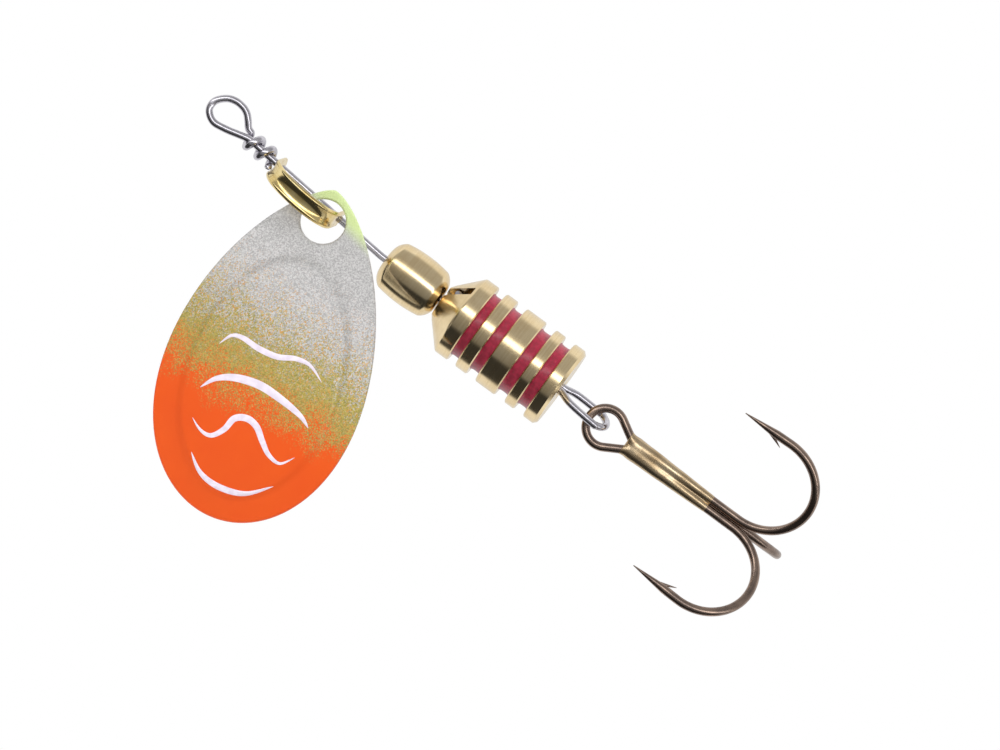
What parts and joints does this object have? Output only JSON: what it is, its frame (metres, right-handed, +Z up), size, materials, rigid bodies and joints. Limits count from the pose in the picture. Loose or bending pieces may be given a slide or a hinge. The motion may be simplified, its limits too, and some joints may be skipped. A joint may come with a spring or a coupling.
{
  "type": "inline spinner",
  "caption": "Inline spinner: a spoon-shaped blade turning on a wire behind a line eye, with a bead, a grooved brass weight and a treble hook",
  "frame": {"origin": "centre of the line eye", "axes": "+X along the wire toward the hook, +Z up, the convex face of the blade looks along -Y"},
  "size_m": [0.0502, 0.0129, 0.0303],
  "materials": {
    "stainless_wire": "bright drawn stainless wire",
    "clevis_brass": "polished, darker in the hollow of the strip",
    "blade_lacquer": "glitter lacquer fading from silver through olive gold to fluorescent orange, with a lime rim at the hole end",
    "turned_brass": "turned and polished, with fine tool lines",
    "red_enamel": "glossy red enamel",
    "bronzed_hook": "bronzed steel wire",
    "braze": "lighter yellow bronze where the hooks are brazed"
  },
  "bodies": {
    "wire_and_weight": {"line_eye": "stainless_wire", "shaft_wire": "stainless_wire", "hook_loop": "stainless_wire", "weight": "turned_brass", "enamel_band_1": "red_enamel", "enamel_band_2": "red_enamel", "enamel_band_3": "red_enamel", "enamel_band_4": "red_enamel"},
    "clevis_body": {"clevis": "clevis_brass"},
    "blade_body": {"blade": "blade_lacquer"},
    "bead_body": {"bead": "turned_brass"},
    "treble_hook": {"double_hook": "bronzed_hook", "single_hook": "bronzed_hook", "hook_braze": "braze"}
  },
  "joints": [
    {"name": "clevis_spin", "type": "hinge", "parent": "wire_and_weight", "child": "clevis_body", "pos_m": [0.0076, 0, -0.0003], "axis": [1, 0, 0], "continuous": true},
    {"name": "blade_swing", "type": "hinge", "parent": "clevis_body", "child": "blade_body", "pos_m": [0.01015, -0.00265, -0.00077], "axis": [0, -1, 0], "range_deg": [-30, 160]},
    {"name": "bead_spin", "type": "hinge", "parent": "wire_and_weight", "child": "bead_body", "pos_m": [0.0169, 0, -0.00005], "axis": [0.9959, 0, 0.0906], "continuous": true},
    {"name": "hook_swing", "type": "hinge", "parent": "wire_and_weight", "child": "treble_hook", "pos_m": [0.03206, 0, 0.00097], "axis": [-0.0906, 0, 0.9959], "range_deg": [-75, 75]}
  ]
}
